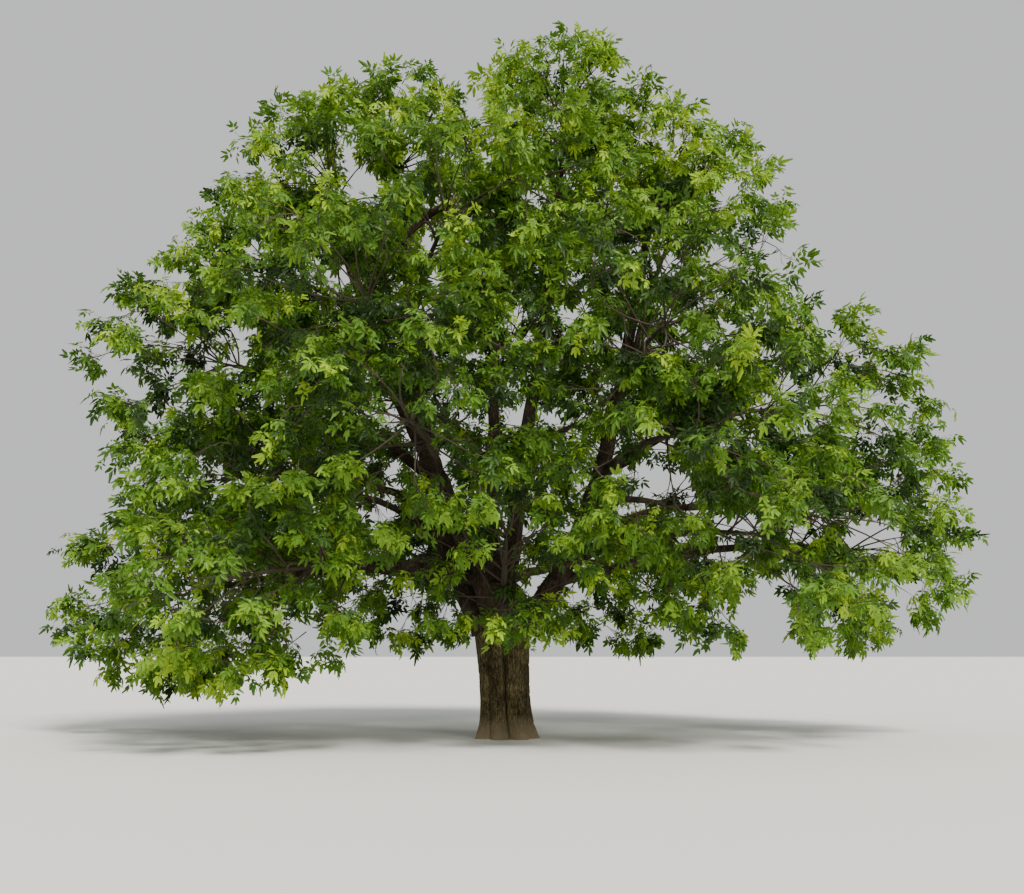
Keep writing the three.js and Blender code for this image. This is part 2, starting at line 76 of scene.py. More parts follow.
# Leaders: name, bearing, spread, shoulder height, radius, and tier and place of the mass that each ends in.
# Each starts inside the fork and bends towards the middle of that mass at shares of its place and height.
LEADER = SimpleNamespace(root_height=2.05, root_out=0.18, bend_out=0.75, bend_height=0.62, tip=0.078)
LEADERS = [
    ("left", 185, 1.75, 3.9, 0.235, ("crest", 1)),
    ("right", 6, 1.9, 3.7, 0.235, ("high", 0)),
    ("centre", 60, 0.35, 5.2, 0.205, ("crest", 0)),
    ("back", 105, 1.7, 4.1, 0.2, ("high", 1)),
    ("front", 232, 1.35, 4.3, 0.175, ("high", 2)),
]

# Tiers of foliage from the ground up: how many masses, the first one's bearing, their radius, the radius of
# their boughs' roots, the height on a leader above which those start and the angle at which they leave it.
# reach, height and fullness, how thickly leaves stand, are given for the right, back, left and front.
TIERS = [
    SimpleNamespace(
        name="skirt", count=7, first=9, radius=2.54, girth=0.112, start=2.55, launch=14,
        reach=(9.6, 8.3, 9.65, 5.05), height=(3.6, 3.7, 2.7, 3.6),
        fullness=(0.93, 0.9, 1.05, 0.95),
    ),
    SimpleNamespace(
        name="lower", count=7, first=-3, radius=2.58, girth=0.118, start=3.3, launch=30,
        reach=(8.75, 8.3, 7.5, 7.6), height=(3.85, 5.2, 4.6, 5.4),
        fullness=(0.87, 0.85, 0.95, 0.85),
    ),
    SimpleNamespace(
        name="middle", count=6, first=0, radius=2.76, girth=0.112, start=4.6, launch=38,
        reach=(8.65, 7.8, 8.4, 7.35), height=(6.3, 7.3, 7.25, 7.1),
        fullness=(0.9, 0.73, 1.08, 0.84),
    ),
    SimpleNamespace(
        name="upper", count=4, first=-12, radius=2.62, girth=0.092, start=6.3, launch=48,
        reach=(5.85, 6.2, 7.15, 6.0), height=(9.75, 8.9, 9.2, 9.15),
        fullness=(1.1, 1.0, 1.2, 1.05),
    ),
    SimpleNamespace(
        name="high", count=4, first=10, radius=2.16, girth=0.08, start=8.0, launch=52,
        reach=(5.3, 4.8, 5.7, 4.7), height=(10.9, 11.0, 11.0, 9.85),
        fullness=(1.2, 1.1, 1.3, 1.1),
    ),
    SimpleNamespace(
        name="crest", count=2, first=-3, radius=1.96, girth=0.07, start=9.0, launch=60,
        reach=(3.15, 2.4, 4.3, 2.4), height=(12.6, 12.2, 12.15, 11.6),
        fullness=(1.4, 1.3, 1.3, 1.3),
    ),
]

# The whole ranges, in degrees, metres and a share, in which a mass strays from its even place and radius.
STRAY = SimpleNamespace(bearing=10, height=0.4, radius=0.08)

# Boughs stand so far apart up a leader and are at most girth_share as thick as it is. The numbers for a
# bough's curve are shares of its reach, but for sway_back, a share of its sway.
BOUGH = SimpleNamespace(
    spacing=0.33, spacing_stray=0.25, rise=0.36, level=0.3, sway=0.22, sway_back=0.6, arch=0.05, tip=0.07,
    girth_share=0.78, seed_shift=500,
)

# A limb's taper, and the collar that swells its root by this share and fades over this length.
TAPER = 1.15
COLLAR = 0.3
COLLAR_LENGTH = 0.26

# The lowest mass right in front of the trunk hangs on a stem that leaves the trunk itself.
FRONT_STEM = SimpleNamespace(bearing=270, within=20, y=-0.15, z=1.75, radius=0.098)

# Masses are balls flattened from top to bottom.
FLATTEN = 1.25
STRETCH = np.array([1, 1, FLATTEN])
LAYOUT_SEED = 319
FOLIAGE_SEED = 136

# Main twigs in a mass: how many headings they are spread over, the angle in degrees at which they leave the
# stem, the shares of it between which they do, and how far out they end as a share of the way to the edge.
# Each rises by arch of its length, and is tested for room at the shares of its length in tested_at.
FOLIAGE = SimpleNamespace(
    headings=26, twig_radius=0.026, branching=50, roots_between=(0.1, 0.97), shell=0.68, shell_stray=0.08,
    arch=0.06, tested_at=[0.2, 0.4, 0.6, 0.8, 1],
)
GOLDEN_ANGLE = math.pi * (3 - math.sqrt(5))
UP = np.array([0.0, 0.0, 1.0])
RANDOM = SimpleNamespace(spread=7919, shift=104729, factor=16807, modulus=2147483647)


def random_from(seed):
    """Repeatable random numbers from 0 to 1, the same as the solids' rule draws: each state is factor times
    the last one, modulo modulus."""
    state = seed * RANDOM.spread + RANDOM.shift

    def draw():
        nonlocal state
        state = state * RANDOM.factor % RANDOM.modulus
        return state / RANDOM.modulus

    return draw


def unit(vectors):
    """Vectors of length 1 along the last axis."""
    vectors = np.asarray(vectors, float)
    return vectors / np.maximum(np.linalg.norm(vectors, axis=-1, keepdims=True), 1e-9)


def around_compass(four, bearing):
    """A value given for the right, back, left and front, blended smoothly round the compass."""
    quarter = (bearing % 360) / 90
    start = int(quarter) % 4
    share = math.sin((quarter - int(quarter)) * math.pi / 2) ** 2
    return four[start] * (1 - share) + four[(start + 1) % 4] * share


def outwards(bearing):
    """The level direction of length 1 at a bearing in degrees."""
    angle = math.radians(bearing)
    return np.array([math.cos(angle), math.sin(angle), 0.0])


def bearing_gap(a, b):
    """The angle between two bearings in degrees, whichever way round is shorter."""
    return np.abs((a - b + 540) % 360 - 180)


class Curve:
    """A Bezier curve through its control points' hull: at(t) by share, along(u) by part of its length."""

    SHARES = np.linspace(0, 1, 201)

    def __init__(self, *controls):
        self.controls = np.array(controls, float)
        steps = np.linalg.norm(np.diff(self.at(self.SHARES), axis=0), axis=1)
        self.lengths = np.concatenate([[0], np.cumsum(steps)])
        self.length = self.lengths[-1]

    def at(self, t):
        t = np.atleast_1d(t)[:, None]
        order = len(self.controls) - 1
        weights = [math.comb(order, k) * (1 - t) ** (order - k) * t ** k for k in range(order + 1)]
        return sum(weight * control for weight, control in zip(weights, self.controls))

    def along(self, u):
        return self.at(np.interp(np.asarray(u) * self.length, self.lengths, self.SHARES))

    def end_direction(self):
        return unit(self.controls[-1] - self.controls[-2])

    def head(self, t):
        """The curve's part before t, by repeated interpolation of the control points."""
        row = self.controls
        heads = [row[0]]
        while len(row) > 1:
            row = row[:-1] + (row[1:] - row[:-1]) * t
            heads.append(row[0])
        return Curve(*heads)


def lay_out_masses():
    """Each tier's flattened balls spread evenly round the compass, inside the crown's edge."""
    laid = []
    for tier in TIERS:
        for place in range(tier.count):
            random = random_from(len(laid) + LAYOUT_SEED)
            bearing = tier.first + place * 360 / tier.count + (random() - 0.5) * STRAY.bearing
            radius = tier.radius * (1 + (random() - 0.5) * STRAY.radius)
            centre = outwards(bearing) * (around_compass(tier.reach, bearing) - radius)
            centre[2] = around_compass(tier.height, bearing) + (random() - 0.5) * STRAY.height
            laid.append(SimpleNamespace(
                name=f"{tier.name}_{place + 1}", seed=len(laid) + FOLIAGE_SEED, tier=tier, place=place,
                bearing=bearing, radius=radius, centre=centre, limb=None, stem=None, stem_radius=0,
            ))
    return laid


def power(mass, points):
    """Square of the stretched distance to a mass's middle, less its radius squared: below 0 in the ball."""
    return (((points - mass.centre) * STRETCH) ** 2).sum(-1) - mass.radius ** 2


def owns(mass, points, room):
    """Whether points are in a mass's own space, at least room from its edge and from other masses' spaces."""
    margin = (room + SPACE_ROOM) * FLATTEN
    own = power(mass, points)
    inside = np.sqrt(own + mass.radius ** 2) <= mass.radius - margin
    for other in masses:
        if other is not mass:
            apart = np.linalg.norm((other.centre - mass.centre) * STRETCH)
            inside &= power(other, points) - own >= 2 * margin * apart
    return inside & (points[..., 2] > room)


def stem_from(tip, direction, mass):
    """A mass's stem, which starts square to the tip of its limb and runs to the middle of the mass."""
    start = tip + direction * CLEARANCE
    bend = start + direction * np.linalg.norm(start - mass.centre) / 2
    return Curve(start, bend, mass.centre)


def enter_mass(curve, mass, tip_radius):
    """Cuts a limb's curve where it enters its mass, and starts the mass's stem there."""
    steps = 240
    inside = owns(mass, curve.at(np.arange(steps + 1) / steps), tip_radius)
    entry = steps
    while entry > 1 and inside[entry - 1]:
        entry -= 1
    head = curve.head(entry / steps)
    mass.stem = stem_from(head.controls[-1], head.end_direction(), mass)
    mass.stem_radius = tip_radius
    return head


def limb_radius(limb, u):
    """A limb tapers from root to tip and swells in a collar at its root."""
    taper = limb.tip_radius + (limb.root_radius - limb.tip_radius) * (1 - u) ** TAPER
    return taper * (1 + COLLAR * np.exp(-u * limb.curve.length / COLLAR_LENGTH))


def trunk_axis(height):
    """Where the trunk's axis stands at a height, because it leans to the left."""
    return TRUNK.lean * height / TRUNK.height


def lay_out_leaders():
    """The limbs that rise from the fork, each into its own mass."""
    laid = []
    for name, bearing, spread, shoulder, radius, (tier_name, place) in LEADERS:
        mass = next(m for m in masses if m.tier.name == tier_name and m.place == place)
        out = outwards(bearing)
        root = out * LEADER.root_out * spread
        root[0] += trunk_axis(LEADER.root_height)
        root[2] = LEADER.root_height
        bend = mass.centre * LEADER.bend_out
        bend[2] = mass.centre[2] * LEADER.bend_height
        curve = Curve(root, out * spread + UP * shoulder, bend, mass.centre)
        limb = SimpleNamespace(
            name=f"leader_{name}", curve=enter_mass(curve, mass, LEADER.tip), bearing=bearing,
            root_radius=radius, tip_radius=LEADER.tip, next_start=0,
        )
        mass.limb = limb
        laid.append(limb)
    return laid


def share_at_height(limb, height):
    """The share of a limb's curve at which it passes a height."""
    steps = 200
    reached = np.nonzero(limb.curve.at(np.arange(steps + 1) / steps)[:, 2] >= height)[0]
    return reached[0] / steps if len(reached) else 1


def bough_curve(root, mass, random):
    """The arching curve from a bough's root to the middle of its mass."""
    flat = (mass.centre - root) * (1, 1, 0)
    reach = np.linalg.norm(flat)
    flat = flat / reach
    rise = math.tan(math.radians(mass.tier.launch)) * reach * BOUGH.rise
    sway = np.array([-flat[1], flat[0], 0]) * (random() - 0.5) * reach * BOUGH.sway
    first = root + flat * reach * BOUGH.rise + sway + UP * rise
    second = mass.centre - flat * reach * BOUGH.level - sway * BOUGH.sway_back
    second[2] = mass.centre[2] + reach * BOUGH.arch
    return Curve(root, first, second, mass.centre)


def lay_out_boughs():
    """A bough for each mass that no leader ends in, from the leader that leans nearest its way. The centre
    leader stands too upright to carry any."""
    laid = []
    carriers = [leader for leader in leaders if leader.name != "leader_centre"]
    for mass in masses:
        if mass.limb:
            continue
        random = random_from(mass.seed + BOUGH.seed_shift)
        carrier = min(carriers, key=lambda leader: bearing_gap(leader.bearing, mass.bearing))
        spacing = BOUGH.spacing * (1 + BOUGH.spacing_stray * random())
        carrier.next_start = max(mass.tier.start, carrier.next_start) + spacing
        if mass.tier.name == "skirt" and bearing_gap(mass.bearing, FRONT_STEM.bearing) < FRONT_STEM.within:
            root = np.array([trunk_axis(mass.tier.start), FRONT_STEM.y, FRONT_STEM.z])
            mass.stem = stem_from(root, unit(mass.centre - root), mass)
            mass.stem_radius = FRONT_STEM.radius
            continue
        share = share_at_height(carrier, carrier.next_start)
        curve = bough_curve(carrier.curve.at(share)[0], mass, random)
        thickest = BOUGH.girth_share * float(limb_radius(carrier, share))
        mass.limb = SimpleNamespace(
            name=f"bough_{mass.name}", curve=enter_mass(curve, mass, BOUGH.tip),
            root_radius=min(mass.tier.girth, thickest), tip_radius=BOUGH.tip,
        )
        laid.append(mass.limb)
    return laid


masses = lay_out_masses()
leaders = lay_out_leaders()
boughs = lay_out_boughs()


def srgb(code):
    """A colour given as an sRGB hex code, in the linear values that Blender's shaders use."""
    channels = [int(code[i:i + 2], 16) / 255 for i in (1, 3, 5)]
    return [c / 12.92 if c <= 0.04045 else ((c + 0.055) / 1.055) ** 2.4 for c in channels] + [1.0]


def add_node(material, kind, inputs=None, stops=(), **settings):
    """A shader node of a kind with its settings, its sockets' values or the outputs that are linked to them,
    and the stops of a colour ramp, each a position and a colour."""
    tree = material.node_tree
    node = tree.nodes.new("ShaderNode" + kind)
    for name, value in settings.items():
        setattr(node, name, value)
    for name, value in (inputs or {}).items():
        if isinstance(value, bpy.types.NodeSocket):
            tree.links.new(value, node.inputs[name])
        else:
            node.inputs[name].default_value = value
    if stops:
        elements = node.color_ramp.elements
        for position, _ in stops[1:-1]:
            elements.new(position)
        for element, (position, colour) in zip(elements, stops):
            element.position = position
            element.color = srgb(colour)
    return node


def new_material(name, colour):
    """A material without nodes yet. colour stands for it where nodes aren't read."""
    material = bpy.data.materials.new(name)
    material.use_nodes = True
    material.node_tree.nodes.clear()
    material.diffuse_color = srgb(colour)
    return material


# Real sizes in a walnut's bark, in metres: small plates 24 mm wide and 110 mm long, stains from rain about a
# hand and a half across, and spots of lichen 30 mm across. Rain splashes dust 0.45 m up the foot.
PLATE_WIDTH = 0.024
PLATE_LENGTH = 0.11
STAIN_SIZE = 0.28
STAIN = "#6f685c"
LICHEN_SIZE = 0.03
LICHEN = "#a8a070"
DUST_HEIGHT = 0.45


def bark_material(name, ridge, plate, furrow, foot=None):
    """Dry furrowed walnut bark, quite matt: grey-brown ridges over dark furrows, small plates drawn out along
    the limb and wide stains, and painted shade that darkens the mesh's hollows to the furrow colour. foot is
    the colour of the dust on the trunk's foot, and adds spots of lichen."""
    material = new_material(name, plate)
    place = add_node(material, "TexCoord").outputs["Object"]
    drawn_out = add_node(material, "Mapping", {
        "Vector": place, "Scale": (1, 1, PLATE_WIDTH / PLATE_LENGTH),
    })
    plates = add_node(material, "TexNoise", {
        "Vector": drawn_out.outputs["Vector"], "Scale": 1 / PLATE_WIDTH, "Detail": 8, "Roughness": 0.6,
    })
    plate_tone = add_node(material, "ValToRGB", {"Fac": plates.outputs["Fac"]}, [
        (0.33, furrow), (0.5, plate), (0.74, ridge),
    ])
    stains = add_node(material, "TexNoise", {"Vector": place, "Scale": 1 / STAIN_SIZE, "Detail": 5})
    stain_tone = add_node(material, "ValToRGB", {"Fac": stains.outputs["Fac"]}, [
        (0.38, STAIN), (0.62, "#ffffff"),
    ])
    stained = add_node(material, "Mix", {
        "Factor": 0.75, "A": plate_tone.outputs["Color"], "B": stain_tone.outputs["Color"],
    }, data_type="RGBA", blend_type="MULTIPLY")
    # Painted shade: where the mesh's relief is hollow, by its pointiness, the colour turns to the furrow
    # colour.
    relief = add_node(material, "NewGeometry")
    raised = add_node(material, "MapRange", {
        "Value": relief.outputs["Pointiness"], "From Min": 0.44, "From Max": 0.52,
    })
    shaded = add_node(material, "Mix", {
        "Factor": raised.outputs["Result"], "A": srgb(furrow), "B": stained.outputs["Result"],
    }, data_type="RGBA")
    colour = shaded.outputs["Result"]
    if foot:
        flecks = add_node(material, "TexNoise", {
            "Vector": place, "Scale": 1 / LICHEN_SIZE, "Detail": 2,
        })
        lichen = add_node(material, "MapRange", {
            "Value": flecks.outputs["Fac"], "From Min": 0.6, "From Max": 0.7, "To Max": 0.3,
        })
        flecked = add_node(material, "Mix", {
            "Factor": lichen.outputs["Result"], "A": colour, "B": srgb(LICHEN),
        }, data_type="RGBA")
        height = add_node(material, "SeparateXYZ", {"Vector": place})
        low = add_node(material, "MapRange", {
            "Value": height.outputs["Z"], "From Min": 0, "From Max": DUST_HEIGHT, "To Min": 0.8, "To Max": 0,
        })
        dusty = add_node(material, "Mix", {
            "Factor": low.outputs["Result"], "A": flecked.outputs["Result"], "B": srgb(foot),
        }, data_type="RGBA")
        colour = dusty.outputs["Result"]
    bump = add_node(material, "Bump", {
        "Height": plates.outputs["Fac"], "Strength": 0.8, "Distance": 0.012,
    })
    surface = add_node(material, "BsdfPrincipled", {
        "Base Color": colour, "Roughness": 0.92, "Specular IOR Level": 0.2, "Normal": bump.outputs["Normal"],
    })
    add_node(material, "OutputMaterial", {"Surface": surface.outputs["BSDF"]})
    return material


def leaf_material(name, colour, glow):
    """Walnut leaf, satin and thin: a soft sheen in the sun, and light from behind shows through it in the
    yellower tone glow. Its veins are too fine to show at this distance, so the tint is plain."""
    material = new_material(name, colour)
    blade = add_node(material, "BsdfPrincipled", {
        "Base Color": srgb(colour), "Roughness": 0.5, "Specular IOR Level": 0.25,
    })
    through = add_node(material, "BsdfTranslucent", {"Color": srgb(glow)})
    mixed = add_node(material, "MixShader", {
        "Fac": 0.24, 1: blade.outputs["BSDF"], 2: through.outputs["BSDF"],
    })
    add_node(material, "OutputMaterial", {"Surface": mixed.outputs["Shader"]})
    return material


def plain_material(name, colour, roughness):
    """One even colour."""
    material = new_material(name, colour)
    surface = add_node(material, "BsdfPrincipled", {
        "Base Color": srgb(colour), "Roughness": roughness,
    })
    add_node(material, "OutputMaterial", {"Surface": surface.outputs["BSDF"]})
    return material


# Old trunk bark is bleached grey-brown. The limbs' bark is a darker copy of it, with the crown's shade
# painted into its colours. Bark on young twigs is still smooth, so it is one dark, matt tone.
TRUNK_BARK = bark_material("furrowed_trunk_bark", "#94895f", "#5c5236", "#211c12", foot="#94856a")
LIMB_BARK = bark_material("limb_bark_painted_shade", "#655847", "#40352a", "#17120d")
TWIG_BARK = plain_material("twig_bark", "#3d3325", roughness=0.85)

# Leaf tints from light yellow-green to dark green, each with the tone of light through it. They are lit and
# shaded copies of one leaf, dealt out as painted light and shade: the lightest to lit outer tips and the
# darkest to inner leaves.
TINTS = [
    leaf_material("leaf_yellow_green", "#8eac2b", "#b6d03c"),
    leaf_material("leaf_bright_green", "#6d8f28", "#96bc3a"),
    leaf_material("leaf_fresh_green", "#4e711e", "#749e2e"),
    leaf_material("leaf_mid_green", "#355317", "#588024"),
    leaf_material("leaf_deep_green", "#20360f", "#385a18"),
]


def add_object(name, data):
    """A new object in the scene."""
    thing = bpy.data.objects.new(name, data)
    bpy.context.scene.collection.objects.link(thing)
    return thing


def add_piece(name, points, triangles, materials, kinds=None, smooth=False):
    """A mesh object of triangles. kinds gives each triangle's material by its place in the list."""
    mesh = bpy.data.meshes.new(name)
    mesh.vertices.add(len(points))
    mesh.vertices.foreach_set("co", np.ascontiguousarray(points, np.float32).ravel())
    mesh.loops.add(3 * len(triangles))
    mesh.loops.foreach_set("vertex_index", np.ascontiguousarray(triangles, np.int32).ravel())
    mesh.polygons.add(len(triangles))
    mesh.polygons.foreach_set("loop_start", np.arange(0, 3 * len(triangles), 3, dtype=np.int32))
    if kinds is not None:
        mesh.polygons.foreach_set("material_index", np.ascontiguousarray(kinds, np.int32))
    mesh.polygons.foreach_set("use_smooth", np.full(len(triangles), smooth))
    for material in materials:
        mesh.materials.append(material)
    mesh.update(calc_edges=True)
    return add_object(name, mesh)


def value_noise(around, along, cells_around, cells_along, seed):
    """Smooth noise from 0 to 1, closed round the tube: random corners of a grid, blended by s*s*(3 - 2*s) of
    the place s in a cell."""
    corners = np.random.default_rng(seed).random((cells_around, cells_along + 2))
    x = (around % 1) * cells_around
    y = np.clip(along, 0, 1) * cells_along
    i = np.floor(x).astype(int) % cells_around
    j = np.floor(y).astype(int)
    s = x - np.floor(x)
    t = y - j
    s = s * s * (3 - 2 * s)
    t = t * t * (3 - 2 * t)
    near = corners[i, j] * (1 - s) + corners[(i + 1) % cells_around, j] * s
    far = corners[i, j + 1] * (1 - s) + corners[(i + 1) % cells_around, j + 1] * s
    return near * (1 - t) + far * t


# Ridges of old walnut bark are some 40 mm wide. Their plates are so many widths long, with edges that sway
# so many times a plate by a share of a width. Fine cracks, so many a ridge and a plate, take a share of the
# depth. The powers sharpen both, and a limb has at least this many ridges and plates.
FURROW = SimpleNamespace(
    plate_length=4.5, sway=0.5, sways=2, power=3, fewest_around=4, fewest_along=2,
    fine_share=0.25, fine_power=2, fine_around=2, fine_along=3,
)


def creases(around, along, cells_around, cells_along, seed):
    """1 - |2n - 1| of noise n: lines of 1 wherever the noise passes its middle."""
    return 1 - np.abs(2 * value_noise(around, along, cells_around, cells_along, seed) - 1)


def furrows(around, along, girth, length, ridge, seed):
    """How deep bark is cut, from 0 on a ridge to 1 in a furrow: creases drawn out along the limb, so furrows
    part and meet round long plates. ridge is the width of a ridge in metres."""
    cells_around = max(FURROW.fewest_around, round(girth / ridge))
    cells_along = max(FURROW.fewest_along, round(length / (ridge * FURROW.plate_length)))
    sway = value_noise(around, along, cells_around, cells_along * FURROW.sways, seed + 1) - 0.5
    warped = around + FURROW.sway * sway / cells_around
    lines = creases(warped, along, cells_around, cells_along, seed)
    fine = creases(
        around, along, cells_around * FURROW.fine_around, cells_along * FURROW.fine_along, seed + 2,
    )
    return (1 - FURROW.fine_share) * lines ** FURROW.power + FURROW.fine_share * fine ** FURROW.fine_power


def tube_walls(rings, around):
    """Two triangles for each cell of a grid of rings closed round a tube."""
    ring, turn = np.meshgrid(np.arange(rings - 1), np.arange(around), indexing="ij")
    a = ring * around + turn
    b = ring * around + (turn + 1) % around
    return np.stack([a, b, b + around, a, b + around, a + around], -1).reshape(-1, 3)


def ring_fan(ring, around, apex):
    """A triangle from each side of a tube's ring to the apex beyond it."""
    turn = np.arange(around)
    first = ring * around
    return np.stack([first + turn, first + (turn + 1) % around, np.full(around, apex)], -1)


def tube_triangles(rings, around):
    """A tube's walls, and a fan over each end to the middle of its foot and of its head."""
    foot = ring_fan(0, around, rings * around)[:, [1, 0, 2]]
    head = ring_fan(rings - 1, around, rings * around + 1)
    return np.concatenate([tube_walls(rings, around), foot, head])


def dress(piece, slot, *nodes):
    """Puts a piece on the body in place of the nodes that it replaces."""
    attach(piece, "root")
    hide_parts(*nodes)


def trunk_radius(angle, height):
    """Root flare below, a swelling to both sides below the fork, and grooves where the two stems meet."""
    rise = height / TRUNK.height
    flare = TRUNK.flare * np.exp(-height / TRUNK.flare_height)
    buttress = 1 + TRUNK.root_depth * np.cos(TRUNK.roots * angle + math.radians(TRUNK.root_turn))
    sideways = TRUNK.swell_round + (1 - TRUNK.swell_round) * np.cos(angle) ** 2
    swell = TRUNK.swell * rise ** TRUNK.swell_power * sideways
    groove = 0
    for bearing, depth in TRUNK.grooves:
        away = bearing_gap(np.degrees(angle), bearing) / TRUNK.groove_width
        deepening = TRUNK.groove_low + (1 - TRUNK.groove_low) * rise
        groove = groove + TRUNK.groove * depth * deepening * np.exp(-away ** 2)
    return TRUNK.waist + flare * buttress + swell - groove


# The trunk's relief: rings and points round it, the power by which the rings crowd towards the foot, its
# girth, the width and depth of its furrows, and the share of its height where its top starts to round off. A
# cleft wanders to both sides of its groove, and towards the fork it gets wider, in degrees, and deeper.
TRUNK_RELIEF = SimpleNamespace(
    rings=210, around=300, crowding=1.2, girth=3.1, ridge=0.04, depth=0.018, seed=11, dome_from=0.72,
    cleft_sway=5, cleft_waves=2.2, cleft_width=3.5, cleft_widening=20, cleft_depth=0.045,
    cleft_deepening=0.15,
)


def make_trunk():
    """The trunk's bark: the solid's surface with a narrow cleft down each groove and furrows cut into it. Its
    radius is (trunk_radius - cleft) * dome - depth * furrows, and a cleft falls off as exp(-away**2)."""
    relief = TRUNK_RELIEF
    u = np.linspace(0, 1, relief.rings)[:, None]
    turn = np.arange(relief.around)[None] / relief.around
    angle = turn * 2 * math.pi
    height = TRUNK.height * u ** relief.crowding
    rise = height / TRUNK.height
    into = np.maximum(0, (rise - relief.dome_from) / (1 - relief.dome_from))
    dome = np.sqrt(1 - TRUNK.dome_depth * into ** 2)
    cut = furrows(turn + 0 * u, rise + 0 * turn, relief.girth, TRUNK.height, relief.ridge, relief.seed)
    cleft = 0
    bearings = np.degrees(angle) + relief.cleft_sway * np.sin(height * relief.cleft_waves)
    for bearing, depth in TRUNK.grooves:
        away = bearing_gap(bearings, bearing) / (relief.cleft_width + relief.cleft_widening * rise ** 2)
        deepest = relief.cleft_depth + relief.cleft_deepening * rise
        cleft = cleft + deepest * math.sqrt(depth) * np.exp(-away ** 2)
    radius = (trunk_radius(angle, height) - cleft) * dome - relief.depth * cut
    across = trunk_axis(height) + radius * np.cos(angle)
    points = np.stack([across, radius * np.sin(angle), height + 0 * angle], -1)
    ends = [(0, 0, 0), (trunk_axis(TRUNK.height), 0, TRUNK.height)]
    points = np.concatenate([points.reshape(-1, 3), ends])
    triangles = tube_triangles(relief.rings, relief.around)
    piece = add_piece("trunk_bark", points, triangles, [TRUNK_BARK], smooth=True)
    dress(piece, "trunk_bark", "trunk")


def square_to(ahead):
    """Two directions square to each given one and to each other, the first level unless that is upright."""
    upright = np.abs(ahead[..., 2:]) >= 0.9
    side = unit(np.cross(ahead, np.where(upright, np.array([1.0, 0, 0]), UP)))
    return side, np.cross(ahead, side)


def carried_frames(centres):
    """Two directions across a path at each of its points, turned along it without twist."""
    ahead = unit(np.gradient(centres, axis=0))
    side, _ = square_to(ahead[0])
    sides = [side]
    for direction in ahead[1:]:
        side = unit(side - direction * side.dot(direction))
        sides.append(side)
    sides = np.array(sides)
    return sides, np.cross(ahead, sides)


# A limb's mesh, with its rings and points spaced in metres. Its axis wanders in waves of these lengths, which
# fade in from each end over a fifth of it, and knuckles, so many round it and so far apart, swell it or draw
# it in. Ridges are wide and deep on a leader's old bark, and shallow on a bough's.
LIMB = SimpleNamespace(
    ring_spacing=0.06, fewest_rings=24, point_spacing=0.028, fewest_around=16, wander=0.011, waves=(1.6, 0.7),
    fade_in=5, knuckles_around=4, fewest_knuckles=3, knuckle_spacing=0.4, knuckle=0.1, knuckle_seed=7,
    girth=0.97,
)
LEADER_RELIEF = SimpleNamespace(ridge=0.045, depth=0.014, seed=100)
BOUGH_RELIEF = SimpleNamespace(ridge=0.035, depth=0.007, seed=200)


def wander(u, length, seed):
    """A gentle sideways wander of a limb, 0 at both ends: a sum of sines of random phase."""
    rng = np.random.default_rng(seed)
    window = np.minimum(1, np.minimum(u, 1 - u) * LIMB.fade_in)
    shift = np.zeros((len(u), 3))
    for wave in LIMB.waves:
        phase = rng.random(3) * 2 * math.pi
        shift += LIMB.wander * wave * np.sin(2 * math.pi * u[:, None] * length / wave + phase)
    return shift * window[:, None]


def make_limb(limb, seed, relief):
    """A limb's bark along its curve, with shallow furrows and knuckles: at each ring the radius is
    limb_radius * (girth + knuckle * noise) - depth * furrows."""
    length = limb.curve.length
    girth = 2 * math.pi * limb.root_radius
    rings = max(LIMB.fewest_rings, round(length / LIMB.ring_spacing))
    around = max(LIMB.fewest_around, round(girth / LIMB.point_spacing))
    shares = np.linspace(0, 1, rings)
    centres = limb.curve.along(shares) + wander(shares, length, seed)
    side, up = carried_frames(centres)
    turn, u = np.meshgrid(np.arange(around) / around, shares)
    angle = turn * 2 * math.pi
    cut = furrows(turn, u, girth, length, relief.ridge, seed)
    knuckles = max(LIMB.fewest_knuckles, round(length / LIMB.knuckle_spacing))
    lumps = value_noise(turn, u, LIMB.knuckles_around, knuckles, seed + LIMB.knuckle_seed) - 0.5
    radius = limb_radius(limb, u) * (LIMB.girth + LIMB.knuckle * lumps) - relief.depth * cut
    points = (
        centres[:, None] + (radius * np.cos(angle))[..., None] * side[:, None]
        + (radius * np.sin(angle))[..., None] * up[:, None]
    )
    points = np.concatenate([points.reshape(-1, 3), centres[[0, -1]]])
    piece = add_piece(f"{limb.name}_bark", points, tube_triangles(rings, around), [LIMB_BARK], smooth=True)
    dress(piece, "limb_bark", limb.name)


make_trunk()
for limbs, relief in ((leaders, LEADER_RELIEF), (boughs, BOUGH_RELIEF)):
    for number, limb in enumerate(limbs):
        make_limb(limb, relief.seed + number, relief)


# How close the points along the wood stand, and the room for the trunk's flare.
WOOD_STEP = 0.06
TRUNK_ROOM = 0.06


def wood_samples():
    """Points along every limb and the trunk, with the radius there, for keeping twigs clear of the wood."""
    points, radii = [], []
    for limb in [*leaders, *boughs]:
        u = np.linspace(0, 1, math.ceil(limb.curve.length / WOOD_STEP) + 1)
        points.append(limb.curve.along(u))
        radii.append(limb_radius(limb, u))
    heights = np.arange(0, TRUNK.height, WOOD_STEP)
    points.append(np.stack([trunk_axis(heights), 0 * heights, heights], -1))
    radii.append(TRUNK.waist + TRUNK.swell * heights / TRUNK.height + TRUNK_ROOM)
    return np.concatenate(points), np.concatenate(radii)


WOOD_POINTS, WOOD_RADII = wood_samples()


def clear_of_wood(points, half_width):
    """Whether twigs or leaves of a half width, with their room, keep clear of limbs and trunk."""
    flat = points.reshape(-1, 3)
    apart = np.linalg.norm(flat[:, None] - WOOD_POINTS[None], axis=-1)
    return (apart > WOOD_RADII + half_width + LIMB_ROOM).all(1).reshape(points.shape[:-1])


def even_headings(count, turned):
    """Headings spread evenly over a ball by the golden angle."""
    k = np.arange(count)
    lift = 1 - (2 * k + 1) / count
    level = np.sqrt(1 - lift ** 2)
    compass = k * GOLDEN_ANGLE + turned
    return np.stack([level * np.cos(compass), level * np.sin(compass), lift], -1)


